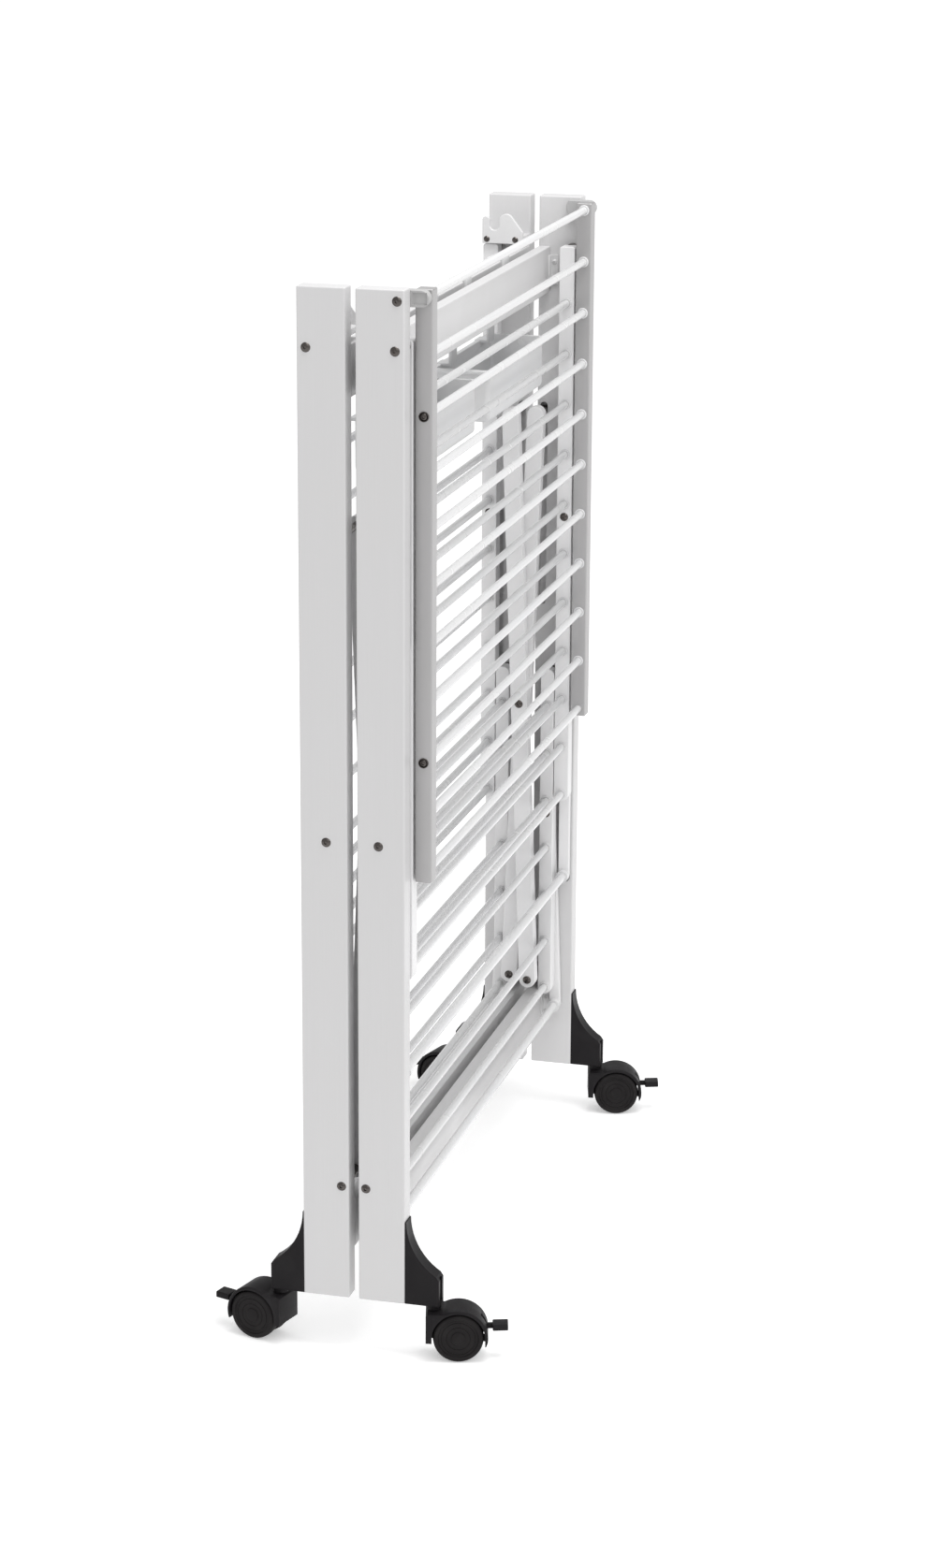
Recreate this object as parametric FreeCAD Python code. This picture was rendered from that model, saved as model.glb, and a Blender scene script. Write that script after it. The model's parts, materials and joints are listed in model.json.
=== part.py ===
import FreeCAD, Part
import math
import os

# Folding clothes dryer on castors, drawn folded, in millimetres.
# +Z is up. The origin is on the floor, half way between the two frames and half way along the rods.
# "right" is +X, the side that the top rack hangs on. "near" is -Y and "far" is +Y.

# Frames
post_width = 50.0            # across the frames, X
post_thickness = 22.0        # along the rods, Y
post_height = 1070.0
ground_clearance = 60.0      # floor to the bottom of the posts
frame_gap = 10.5             # between the two folded frames
frame_depth = 770.0          # outer face to outer face of the posts, Y
rail_height = 54.0
top_rail_drop = 58.0         # top of the post to the top of the upper rail
bottom_rail_rise = 50.0      # bottom of the post to the bottom of the lower rail
edge_round = 1.5
face_ease = 1.0              # rounding round the flat faces of bars, links and brackets

# Layers between the posts, measured inwards from the post's inner face
stay_layer = 1.5
stay_thickness = 8.0
wing_layer = 10.0
wing_bar_thickness = 18.0
rack_layer = 12.0
link_thickness = 14.0
layer_gap = 0.6
plate_gap = 1.0              # wing bars to the links, and racks to the hook plates

# Drying rods
rod_radius = 4.25
rod_pitch = 59.4
rod_count = 11
bar_end = 9.0                # bar beyond its last rod
rod_embed = 10.0             # blind hole for the end of a rod

# Top rack
rack_bar_width = 18.0
rack_bar_thickness = 18.0
rack_offset = 10.5           # rack rods outside the post's outer face
rack_pivot_drop = 11.3
hinge_block_height = 17.0
hinge_block_inner = 15.5     # block's inner end, inside the post's outer face
hinge_screw_inset = 7.4
hinge_bore_depth = 8.0       # bore for the rack's first rod
hinge_pocket_depth = 2.0
hinge_pocket_wall = 2.2

# Upper and lower wings; an inset is measured from the post's outer face
wing_edge_inset = 0.5
wing_gap = 0.75              # between the bars of the two wings, and the lower bars to the rails
upper_wing_bar_width = 18.0
upper_wing_room = 1.0        # bar's top end to the foot of the hook bracket
upper_wing_top = 6.0         # bar above its pivot
upper_wing_corner = 3.0
upper_stay_reach = 312.5     # wing pivot to stay pivot
upper_stay_length = 449.0
lower_wing_bar_width = 16.5
lower_wing_drop = 568.5
lower_wing_top = 8.0
lower_wing_corner = 7.5
lower_wing_rods = 7
lower_first_rod = 36.3
lower_stay_reach = 171.0
lower_stay_length = 250.0
lower_stay_inset = 18.5      # cross rod of the lower stay
stay_arm_width = 13.0
stay_rod_radius = 5.0
stay_collar_radius = 7.5
stay_collar_length = 9.0

# Scissor links
link_rod_gap = 0.25          # link to the lower wing's rods
link_bar_gap = 0.65          # shoulder of the link's bolt to the lower wing's bar
link_width = 20.0
link_span = 694.0            # pivot to pivot
link_pivot_rise = 126.0      # above the bottom of the post

# Grooves in the posts
groove_inset = 12.0
groove_width = 17.0
groove_depth = 8.0
groove_end_gap = 4.0
guide_depth = 9.0
stud_clearance = 0.5

# Bolts and screws
bolt_radius = 4.0
bolt_head_radius = 5.0
bolt_head_height = 2.4
bolt_shoulder_radius = 7.0
link_shoulder_radius = 5.6
running_clearance = 0.05
wing_bolt_cover = 3.0        # bar left over the end of its pivot bolt
bolt_end_gap = 0.5           # end of a bolt to the bottom of its bore, and a bolt's cap to the link
screw_radius = 1.6
screw_length = 14.0          # under the head
angle_screw_head_radius = 3.2
hook_screw_head_radius = 3.6
screw_head_height = 1.6

# Hook brackets on the left frame
hook_plate_thickness = 4.0
hook_notch_width = 12.0
hook_notch_inset = 15.6
hook_notch_drop = 37.5
hook_lobe_drop = 21.7
hook_hump_drop = 18.5
hook_hump_width = 16.0
hook_shoulder_drop = 39.0
hook_foot_drop = 44.5
hook_foot_thickness = 6.0
hook_bottom_drop = 53.0
hook_screw_drop = 48.0
hook_screw_insets = (6.5, 40.5)

# Angle plates between rails and posts
angle_leg = 10.0
angle_plate = 2.0
angle_height = 34.0
angle_screw_out = 5.8        # from the rail's face
angle_screw_pitch = 18.0

# Peg trays
tray_width = 64.0
tray_height = 58.0
tray_wall = 2.5
tray_rim = 4.0
tray_drop = 150.0
tray_end_gap = 96.0          # near post's inner face to the near tray
tray_far_gap = 84.0
tray_spacing = 58.0
hanger_width = 24.0
hanger_thickness = 3.0

# Castors; "out" is measured from the post's outer face
bracket_reach = 37.0
bracket_height = 92.0
bracket_front_height = 29.0
bracket_inset = 1.0
bracket_flange = 1.5         # flat stretch at the bracket's top end
bracket_slot_width = 8.0
bracket_slot_depth = 3.0
swivel_out = 29.0
swivel_boss_radius = 8.0
swivel_boss_drop = 5.0
castor_turn = 15.0           # degrees that each castor, as drawn, is swivelled towards the far end
stem_radius = 4.0
stem_depth = 11.0            # stem in the hood
stem_rise = 22.0             # stem in the bracket
wheel_radius = 27.0
wheel_out = 55.0
wheel_inner = 4.0            # half the gap between the twin wheels
wheel_outer = 18.0
wheel_round = 3.0
hood_radius = 31.5
hood_half_width = 18.5
hood_inner_out = 20.5
hood_flat = 54.4             # height of the flat top round the stem
hood_inner_skirt = 22.0      # height of the skirt above the floor, below the stem
hood_outer_skirt = 18.0
hood_web = 3.3               # half the thickness of the web between the wheels
wheel_room = 1.2
axle_radius = 3.0
pedal_pivot_out = 83.8
pedal_pivot_height = 35.0
pedal_pin_radius = 1.0
pedal_tip_out = 107.5
pedal_width = 16.0
pedal_tread = 16.5           # length of the tread, from its outer end
pedal_neck = 5.0
pedal_rise = 2.0             # degrees up towards the tip, when the brake is off
pedal_slot_drop = 11.0       # hood's slot below and above the pedal's pivot
pedal_slot_rise = 15.0

# Derived sizes and places
post_outer = frame_gap / 2 + post_width
post_bottom = ground_clearance
post_top = ground_clearance + post_height
inner_face = frame_depth / 2 - post_thickness
tray_length = (2 * inner_face - tray_end_gap - tray_far_gap - tray_spacing) / 2
upper_wing_inset = wing_edge_inset + upper_wing_bar_width / 2
lower_wing_inset = upper_wing_inset + (upper_wing_bar_width + lower_wing_bar_width) / 2 + wing_gap
rail_thickness = post_width - lower_wing_inset - lower_wing_bar_width / 2 - wing_gap
upper_wing_drop = hook_foot_drop + hook_foot_thickness + upper_wing_room + upper_wing_bar_width / 2
link_inset = lower_wing_inset + max(rod_radius + link_width / 2 + link_rod_gap,
                                    lower_wing_bar_width / 2 + link_shoulder_radius + link_bar_gap)
rack_x = post_outer + rack_offset
rack_z = post_top - rack_pivot_drop
upper_x = post_outer - upper_wing_inset
upper_z = post_top - upper_wing_drop
lower_x = post_outer - lower_wing_inset
lower_z = post_top - lower_wing_drop
link_x = post_outer - link_inset
link_low_z = post_bottom + link_pivot_rise
link_rise = math.sqrt(link_span ** 2 - (2 * link_x) ** 2)
link_high_z = link_low_z + link_rise
link_tilt = math.degrees(math.asin(2 * link_x / link_span))
rack_reach = rod_pitch * (rod_count - 1)
rack_fall = hook_notch_drop - rod_radius - stud_clearance - rack_pivot_drop
open_travel = math.sqrt(rack_reach ** 2 - rack_fall ** 2) - rack_x - (post_outer - hook_notch_inset)
link_swing = math.degrees(math.asin((open_travel + 2 * link_x) / link_span)) - link_tilt
wing_inner = wing_layer + wing_bar_thickness
rack_inner = rack_layer + rack_bar_thickness
link_layer = wing_inner + plate_gap
front_link_layer = link_layer + link_thickness + layer_gap
hook_plate_layer = max(wing_inner, rack_inner) + plate_gap
hole_radius = bolt_radius + running_clearance
hinge_block_face = rack_layer - layer_gap
upper_rod_offsets = [rod_pitch * (k + 1) for k in range(rod_count)]
lower_rod_offsets = [lower_first_rod + rod_pitch * k for k in range(lower_wing_rods)]
castor_y = frame_depth / 2 - post_thickness / 2

Y_AXIS = FreeCAD.Vector(0, 1, 0)
Z_AXIS = FreeCAD.Vector(0, 0, 1)
nodes = {}


def layer_y(depth):
    """Y of a layer that lies this far inwards from the far posts' inner face."""
    return inner_face - depth


def box(x0, x1, y0, y1, z0, z1):
    """Box between two corners given in any order."""
    low = FreeCAD.Vector(min(x0, x1), min(y0, y1), min(z0, z1))
    return Part.makeBox(abs(x1 - x0), abs(y1 - y0), abs(z1 - z0), low)


def rod_y(x, z, radius, y0, y1):
    """Cylinder along Y."""
    return Part.makeCylinder(radius, abs(y1 - y0), FreeCAD.Vector(x, min(y0, y1), z), Y_AXIS)


def rod_z(x, y, radius, z0, z1):
    """Cylinder along Z."""
    return Part.makeCylinder(radius, abs(z1 - z0), FreeCAD.Vector(x, y, min(z0, z1)), Z_AXIS)


def rounded(shape, radius):
    """Shape with every straight edge rounded."""
    edges = [e for e in shape.Edges if isinstance(e.Curve, Part.Line)]
    return shape.makeFillet(radius, edges)


def prism_y(wire, y0, y1):
    """Solid swept along Y from an outline in the XZ plane."""
    face = Part.Face(wire)
    face.translate(FreeCAD.Vector(0, min(y0, y1) - wire.BoundBox.YMin, 0))
    return face.extrude(FreeCAD.Vector(0, abs(y1 - y0), 0))


def eased(shape, radius=face_ease):
    """Piece swept along Y, with the edges round its two flat faces rounded."""
    edges = [e for e in shape.Edges
             if abs(e.valueAt(e.FirstParameter).y - e.valueAt(e.LastParameter).y) < 1e-6]
    return shape.makeFillet(radius, edges)


def line(a, b):
    return Part.makeLine(FreeCAD.Vector(a[0], 0, a[1]), FreeCAD.Vector(b[0], 0, b[1]))


def arc(a, mid, b):
    points = [FreeCAD.Vector(p[0], 0, p[1]) for p in (a, mid, b)]
    return Part.Arc(*points).toShape()


def bar_outline(x, z_top, z_low, half, corner):
    """Bar with a square top end and rounded corners, and a round end below z_low."""
    mid = corner * (1 - math.sqrt(0.5))
    return Part.Wire([
        line((x - half, z_low), (x - half, z_top - corner)),
        arc((x - half, z_top - corner), (x - half + mid, z_top - mid), (x - half + corner, z_top)),
        line((x - half + corner, z_top), (x + half - corner, z_top)),
        arc((x + half - corner, z_top), (x + half - mid, z_top - mid), (x + half, z_top - corner)),
        line((x + half, z_top - corner), (x + half, z_low)),
        arc((x + half, z_low), (x, z_low - half), (x - half, z_low)),
    ])


def strap_outline(x, z_high, z_low, half, tilt=0.0):
    """Round-ended strap about the line from (x, z_high) down to z_low, turned about its top."""
    wire = Part.Wire([
        arc((x - half, z_high), (x, z_high + half), (x + half, z_high)),
        line((x + half, z_high), (x + half, z_low)),
        arc((x + half, z_low), (x, z_low - half), (x - half, z_low)),
        line((x - half, z_low), (x - half, z_high)),
    ])
    wire.rotate(FreeCAD.Vector(x, 0, z_high), Y_AXIS, tilt)
    return wire


def dome(x, z, y_face, outward, radius, height):
    """Low domed head that stands on the plane y_face; outward is +1 or -1 along Y."""
    ball_radius = (radius ** 2 + height ** 2) / (2 * height)
    centre = FreeCAD.Vector(x, y_face + outward * (height - ball_radius), z)
    ball = Part.makeSphere(ball_radius, centre)
    cap = rod_y(x, z, radius + 1, y_face, y_face + outward * (height + 1))
    socket = rod_y(x, z, radius * 0.32, y_face + outward * height * 0.35, y_face + outward * (height + 1))
    return ball.common(cap).cut(socket)


def wood_screw(x, z, y_face, head_radius):
    """Far screw with a low domed head on y_face and a plain shank towards the far end."""
    head = dome(x, z, y_face, -1, head_radius, screw_head_height)
    return head.fuse(screw_shank(x, z, y_face))


def screw_shank(x, z, y_face):
    return rod_y(x, z, screw_radius, y_face, y_face + screw_length)


def mirrored_y(shape):
    return shape.mirror(FreeCAD.Vector(0, 0, 0), Y_AXIS)


def mirrored_x(shape):
    return shape.mirror(FreeCAD.Vector(0, 0, 0), FreeCAD.Vector(1, 0, 0))


def both_ends(shape):
    """A far piece and its near twin."""
    return [shape, mirrored_y(shape)]


def add(name, shapes):
    """Keep one node as a compound of separate solids."""
    pieces = shapes if isinstance(shapes, list) else [shapes]
    solids = [solid for piece in pieces for solid in piece.Solids]
    nodes[name] = solids[0] if len(solids) == 1 else Part.makeCompound(solids)


def on_side(side, shapes):
    """Shapes drawn for the right frame, mirrored when side is left."""
    pieces = shapes if isinstance(shapes, list) else [shapes]
    return pieces if side == "right" else [mirrored_x(p) for p in pieces]


# ---- Frames ----

def pivot_bolt(x, z, moving_face, reach, shoulder_radius=bolt_shoulder_radius):
    """Far-end bolt: domed head outside the post, shoulder up to the moving piece, plain end in it."""
    head = dome(x, z, frame_depth / 2, 1, bolt_head_radius, bolt_head_height)
    shank = rod_y(x, z, bolt_radius, frame_depth / 2, layer_y(reach))
    shoulder = rod_y(x, z, shoulder_radius, inner_face, layer_y(moving_face - layer_gap))
    return head.fuse([shank, shoulder])


def link_bolt(face):
    """Far-end bolt right through the foot of a scissor link, with a cap on the link's inner side."""
    reach = face + link_thickness + bolt_end_gap
    cap = dome(link_x, link_low_z, layer_y(reach), -1, bolt_head_radius, bolt_head_height)
    return pivot_bolt(link_x, link_low_z, face, reach, link_shoulder_radius).fuse(cap)


def stay_groove():
    """Room in the far right post for the end of the upper stay's rod, over its whole travel."""
    folded_z = upper_z - upper_stay_reach - upper_stay_length
    open_z = upper_z - math.sqrt(upper_stay_length ** 2 - upper_stay_reach ** 2)
    x = post_outer - groove_inset
    half = groove_width / 2
    outline = strap_outline(x, open_z + groove_end_gap, folded_z - groove_end_gap, half)
    return prism_y(outline, inner_face, inner_face + groove_depth)


def link_guide():
    """Groove in the far right post for the stud at the top of a scissor link."""
    open_z = link_low_z + link_span * math.cos(math.radians(link_tilt + link_swing))
    half = bolt_radius + stud_clearance
    outline = strap_outline(link_x, link_high_z + groove_end_gap, open_z - groove_end_gap, half)
    return prism_y(outline, inner_face, inner_face + guide_depth)


def far_right_post(side):
    post = box(frame_gap / 2, post_outer, inner_face, frame_depth / 2, post_bottom, post_top)
    post = rounded(post, edge_round)
    holes = [rod_y(x, z, bolt_radius, inner_face, frame_depth / 2)
             for x, z in ((upper_x, upper_z), (lower_x, lower_z), (link_x, link_low_z))]
    if side == "right":
        holes.append(rod_y(post_outer - hinge_screw_inset, rack_z, bolt_radius, inner_face, frame_depth / 2))
    holes += [screw_shank(*place) for z in (top_rail_z, bottom_rail_z) for place in angle_screw_places(z)]
    return post.cut(holes + [stay_groove(), link_guide()])


def rail(z_low):
    """Rail between the posts, flush with their faces at the gap."""
    body = box(frame_gap / 2, frame_gap / 2 + rail_thickness, -inner_face, inner_face,
               z_low, z_low + rail_height)
    return rounded(body, edge_round)


def angle_screw_places(z_low):
    """(x, z, y of the head's seat) of the screws in the leg that lies on the far post."""
    x = frame_gap / 2 + rail_thickness + angle_screw_out
    z = z_low + rail_height / 2
    return [(x, z + dz, inner_face - angle_plate) for dz in (-angle_screw_pitch / 2, angle_screw_pitch / 2)]


def rail_angle(z_low):
    """Angle plate that joins one rail to the far post."""
    x0 = frame_gap / 2 + rail_thickness
    z0 = z_low + (rail_height - angle_height) / 2
    z1 = z0 + angle_height
    angle = box(x0, x0 + angle_plate, inner_face, inner_face - angle_leg, z0, z1)
    angle = angle.fuse(box(x0, x0 + angle_leg, inner_face, inner_face - angle_plate, z0, z1)).removeSplitter()
    return angle.cut([screw_shank(*place) for place in angle_screw_places(z_low)])


top_rail_z = post_top - top_rail_drop - rail_height
bottom_rail_z = post_bottom + bottom_rail_rise

for side in ("right", "left"):
    far_post = on_side(side, far_right_post(side))[0]
    add(side + "_far_post", far_post)
    add(side + "_near_post", mirrored_y(far_post))
    add(side + "_top_rail", on_side(side, rail(top_rail_z)))
    add(side + "_bottom_rail", on_side(side, rail(bottom_rail_z)))
    angles = [a for z in (top_rail_z, bottom_rail_z) for a in both_ends(rail_angle(z))]
    add(side + "_rail_angles", on_side(side, angles))

# ---- Hinge blocks of the top rack ----

block_x0 = post_outer - hinge_block_inner
block_x1 = rack_x + hinge_block_height / 2
block_half = hinge_block_height / 2
hinge_screw_reach = hinge_block_face - 3.0


def hinge_block():
    """Far block: screwed to the post at one end, bored for the rack's first rod at the other."""
    outline = Part.Wire([
        line((block_x0 + 3, rack_z + block_half), (rack_x, rack_z + block_half)),
        arc((rack_x, rack_z + block_half), (block_x1, rack_z), (rack_x, rack_z - block_half)),
        line((rack_x, rack_z - block_half), (block_x0 + 3, rack_z - block_half)),
        arc((block_x0 + 3, rack_z - block_half), (block_x0 + 3 - block_half * 0.35, rack_z),
            (block_x0 + 3, rack_z + block_half)),
    ])
    body = eased(prism_y(outline, inner_face, layer_y(hinge_block_face)))
    bore = rod_y(rack_x, rack_z, rod_radius + running_clearance,
                 layer_y(hinge_block_face - hinge_bore_depth), layer_y(rack_layer + 1))
    screw_hole = rod_y(post_outer - hinge_screw_inset, rack_z, bolt_radius, inner_face, layer_y(hinge_screw_reach))
    half = block_half - hinge_pocket_wall
    pocket = rounded(box(post_outer + hinge_pocket_wall, block_x1 - hinge_pocket_wall,
                         inner_face + hinge_pocket_depth, layer_y(hinge_pocket_depth),
                         rack_z - half, rack_z + half), face_ease)
    return body.cut([bore, screw_hole, pocket])


def hinge_block_screw():
    x = post_outer - hinge_screw_inset
    head = dome(x, rack_z, frame_depth / 2, 1, bolt_head_radius, bolt_head_height)
    return head.fuse(rod_y(x, rack_z, bolt_radius, frame_depth / 2, layer_y(hinge_screw_reach)))


add("rack_hinge_blocks", both_ends(hinge_block()))

# ---- Pivot bolts in the posts ----

for side in ("right", "left"):
    link_face = front_link_layer if side == "right" else link_layer
    bolts = [pivot_bolt(upper_x, upper_z, wing_layer, wing_inner - wing_bolt_cover - bolt_end_gap),
             pivot_bolt(lower_x, lower_z, wing_layer, wing_inner - wing_bolt_cover - bolt_end_gap),
             link_bolt(link_face)]
    if side == "right":
        bolts.append(hinge_block_screw())
    add(side + "_pivot_bolts", on_side(side, [b for bolt in bolts for b in both_ends(bolt)]))

# ---- Hook brackets on the left frame ----


def hook_bracket():
    """Far bracket, drawn on the right frame: a foot on the post and a notched plate that stands off it."""
    def at(inset, drop):
        return (post_outer - inset, post_top - drop)

    left = hook_notch_inset - hook_notch_width / 2
    right = hook_notch_inset + hook_notch_width / 2
    notch_low = hook_notch_drop - hook_notch_width / 2
    edge = 1.0
    far_edge = post_width - 0.5
    outline = Part.Wire([
        line(at(edge, hook_bottom_drop), at(edge, hook_lobe_drop + 4)),
        arc(at(edge, hook_lobe_drop + 4), at((edge + left) / 2, hook_lobe_drop), at(left, hook_lobe_drop + 4)),
        line(at(left, hook_lobe_drop + 4), at(left, notch_low)),
        arc(at(left, notch_low), at(hook_notch_inset, hook_notch_drop), at(right, notch_low)),
        line(at(right, notch_low), at(right, hook_hump_drop + 5)),
        arc(at(right, hook_hump_drop + 5), at(right + hook_hump_width / 2, hook_hump_drop),
            at(right + hook_hump_width, hook_hump_drop + 5)),
        line(at(right + hook_hump_width, hook_hump_drop + 5), at(far_edge, hook_shoulder_drop)),
        line(at(far_edge, hook_shoulder_drop), at(far_edge, hook_bottom_drop)),
        line(at(far_edge, hook_bottom_drop), at(edge, hook_bottom_drop)),
    ])
    front = layer_y(hook_plate_layer + hook_plate_thickness)
    plate = prism_y(outline, layer_y(hook_plate_layer), front)
    plate = plate.makeFillet(face_ease, [e for e in plate.Edges if abs(e.CenterOfMass.y - front) < 1e-6])
    foot_z = post_top - hook_foot_drop
    foot = box(post_outer - edge, post_outer - far_edge, inner_face, layer_y(hook_plate_layer),
               foot_z - hook_foot_thickness, foot_z)
    return plate.fuse(foot).removeSplitter().cut([screw_shank(*place) for place in hook_screw_places()])


def hook_screw_places():
    """(x, z, y of the head's seat) of the screws through the far bracket's plate into its foot."""
    y = layer_y(hook_plate_layer + hook_plate_thickness)
    return [(post_outer - inset, post_top - hook_screw_drop, y) for inset in hook_screw_insets]


add("hook_brackets", on_side("left", both_ends(hook_bracket())))

for side in ("right", "left"):
    screws = [wood_screw(*place, angle_screw_head_radius)
              for z in (top_rail_z, bottom_rail_z) for place in angle_screw_places(z)]
    if side == "left":
        screws += [wood_screw(*place, hook_screw_head_radius) for place in hook_screw_places()]
    add(side + "_frame_screws", on_side(side, [s for screw in screws for s in both_ends(screw)]))

# ---- Peg trays, hung on the left frame's upper rail ----


def peg_tray(y0):
    """Open tray with a rolled rim, and the hanger that carries it from the rail."""
    y1 = y0 + tray_length
    half = tray_width / 2
    z1 = post_top - tray_drop
    z0 = z1 - tray_height
    outer = rounded(box(-half, half, y0, y1, z0, z1), 6.0)
    outer = outer.fuse(rounded(box(-half - tray_rim, half + tray_rim, y0 - tray_rim, y1 + tray_rim,
                                   z1 - tray_rim, z1), 1.5))
    room = rounded(box(-half + tray_wall, half - tray_wall, y0 + tray_wall, y1 - tray_wall,
                       z0 + tray_wall, z1 + 20), 4.0)
    return outer.cut(room)


def tray_hanger(y_mid):
    """Strap from the tray's left rim up over the left rail."""
    x_rail = -frame_gap / 2 - rail_thickness
    x_outer = -tray_width / 2 - tray_rim
    rail_top = top_rail_z + rail_height
    y0 = y_mid - hanger_width / 2
    y1 = y_mid + hanger_width / 2
    t = hanger_thickness
    z_rim = post_top - tray_drop - tray_rim / 2
    lip = box(-frame_gap / 2, -frame_gap / 2 + t, y0, y1, rail_top - 14, rail_top + t)
    cap = box(x_rail - t, -frame_gap / 2 + t, y0, y1, rail_top, rail_top + t)
    drop = box(x_rail - t, x_rail, y0, y1, z_rim + t, rail_top + t)
    foot = box(x_outer, x_rail, y0, y1, z_rim, z_rim + t)
    return lip.fuse([cap, drop, foot]).removeSplitter()


near_tray_y = -inner_face + tray_end_gap
far_tray_y = near_tray_y + tray_length + tray_spacing
for name, y0 in (("near", near_tray_y), ("far", far_tray_y)):
    hangers = [tray_hanger(y0 + 40), tray_hanger(y0 + tray_length - 40)]
    add(name + "_peg_tray", peg_tray(y0).fuse(hangers).removeSplitter())

# ---- Scissor links ----


def scissor_link(depth, tilt):
    """Far link from the low pivot at (x, link_low_z) up to the stud on the other frame."""
    x_low = link_x if tilt > 0 else -link_x
    x_high = -x_low
    half = link_width / 2
    angle = link_tilt if tilt > 0 else -link_tilt
    outline = strap_outline(x_high, link_high_z, link_high_z - link_span, half, -angle)
    link = eased(prism_y(outline, layer_y(depth), layer_y(depth + link_thickness)))
    holes = [rod_y(x_low, link_low_z, hole_radius, layer_y(depth), layer_y(depth + link_thickness)),
             rod_y(x_high, link_high_z, bolt_radius, layer_y(depth), layer_y(depth + link_thickness - 2))]
    return link.cut(holes), x_high


link_mid_z = (link_low_z + link_high_z) / 2
front_link, front_stud_x = scissor_link(front_link_layer, 1)
rear_link, rear_stud_x = scissor_link(link_layer, -1)
centre_hole = rod_y(0, link_mid_z, bolt_radius, layer_y(link_layer + 1), layer_y(front_link_layer + link_thickness))
centre_room = rod_y(0, link_mid_z, hole_radius, layer_y(link_layer + 1), layer_y(link_layer + link_thickness))
add("front_scissor_links", both_ends(front_link.cut(centre_hole)))
add("rear_scissor_links", both_ends(rear_link.cut(centre_room)))


def guide_stud(x, depth):
    """Far stud: pressed in the top of a link, its free end in the post's guide."""
    return rod_y(x, link_high_z, bolt_radius, layer_y(depth + link_thickness - 2),
                 inner_face + guide_depth - 1.0)


def centre_bolt():
    face = layer_y(front_link_layer + link_thickness)
    head = dome(0, link_mid_z, face, -1, bolt_head_radius, bolt_head_height)
    return head.fuse(rod_y(0, link_mid_z, bolt_radius, face, layer_y(link_layer + 1)))


front_bolts = [centre_bolt(), guide_stud(front_stud_x, front_link_layer)]
add("front_link_bolts", [s for bolt in front_bolts for s in both_ends(bolt)])
add("rear_link_studs", both_ends(guide_stud(rear_stud_x, link_layer)))

# ---- Racks: a pair of bars and a row of rods ----


def wing_bar(x, z_pivot, offsets, width, top, corner):
    """Far bar from above its pivot to below its last rod, with blind holes for the rods."""
    low_z = z_pivot - offsets[-1]
    half = width / 2
    body = eased(prism_y(bar_outline(x, z_pivot + top, low_z + half - bar_end, half, corner),
                         layer_y(wing_layer), layer_y(wing_inner)))
    return body.cut([rod_y(x, z_pivot - d, rod_radius, layer_y(wing_inner - rod_embed), layer_y(wing_inner))
                     for d in offsets])


def rods(x, z_pivot, offsets, inner, embed):
    """Rods between the two bars, let into them at both ends."""
    end = inner_face - inner + embed
    return [rod_y(x, z_pivot - d, rod_radius, -end, end) for d in offsets]


rack_offsets = [rod_pitch * k for k in range(rod_count)]


def rack_bar():
    """Square-ended far bar of the top rack; the first rod passes through it into the hinge block."""
    half = rack_bar_width / 2
    body = rounded(box(rack_x - half, rack_x + half, layer_y(rack_layer), layer_y(rack_inner),
                       rack_z - rack_offsets[-1] - bar_end, rack_z + bar_end * 0.9), edge_round)
    holes = [rod_y(rack_x, rack_z - d, rod_radius, layer_y(rack_inner - rod_embed), layer_y(rack_inner))
             for d in rack_offsets[1:]]
    holes.append(rod_y(rack_x, rack_z, rod_radius, layer_y(rack_layer), layer_y(rack_inner)))
    return body.cut(holes)


long_rod_end = inner_face - hinge_block_face + hinge_bore_depth - stud_clearance
rack_rods = rods(rack_x, rack_z, rack_offsets[1:], rack_inner, rod_embed)
rack_rods.append(rod_y(rack_x, rack_z, rod_radius, -long_rod_end, long_rod_end))
add("top_rack_bars", both_ends(rack_bar()))
add("top_rack_rods", rack_rods)

# ---- Wings and their stays ----


def stay_pin(x, z):
    """Far pin: head on the bar's inner side, free end in the stay arm."""
    head = dome(x, z, layer_y(wing_inner), -1, bolt_head_radius, bolt_head_height)
    return head.fuse(rod_y(x, z, bolt_radius, layer_y(wing_inner), layer_y(stay_layer + 1)))


def wing(name, x, z, far_bar, offsets, reach):
    """Bars, rods and stay pins of one wing, on its own frame's side."""
    side = name.split("_")[0]
    pivot_bore = rod_y(x, z, hole_radius, layer_y(wing_layer), layer_y(wing_inner - wing_bolt_cover))
    pin_bore = rod_y(x, z - reach, bolt_radius, layer_y(wing_layer), layer_y(wing_inner))
    add(name + "_bars", on_side(side, both_ends(far_bar.cut([pivot_bore, pin_bore]))))
    add(name + "_rods", on_side(side, rods(x, z, offsets, wing_inner, rod_embed)))
    add(name + "_stay_pins", on_side(side, both_ends(stay_pin(x, z - reach))))


def stay(name, x, z, length, tilt):
    """Two arms hung on the wing's stay pins, and the collared rod across their lower ends."""
    side = name.split("_")[0]
    span = (layer_y(stay_layer), layer_y(stay_layer + stay_thickness))
    arm = eased(prism_y(strap_outline(x, z, z - length, stay_arm_width / 2, tilt), *span))
    swing = math.radians(tilt)
    x_rod = x - length * math.sin(swing)
    z_rod = z - length * math.cos(swing)
    rod_end = inner_face - stay_layer
    arm = arm.cut([rod_y(x, z, hole_radius, *span), rod_y(x_rod, z_rod, stay_rod_radius, *span)])
    cross = rod_y(x_rod, z_rod, stay_rod_radius, -rod_end, rod_end)
    collar = rod_y(x_rod, z_rod, stay_collar_radius, span[1], span[1] - stay_collar_length)
    add(name + "_arms", on_side(side, both_ends(arm)))
    add(name + "_rod", on_side(side, cross.fuse(both_ends(collar)).removeSplitter()))


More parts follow.
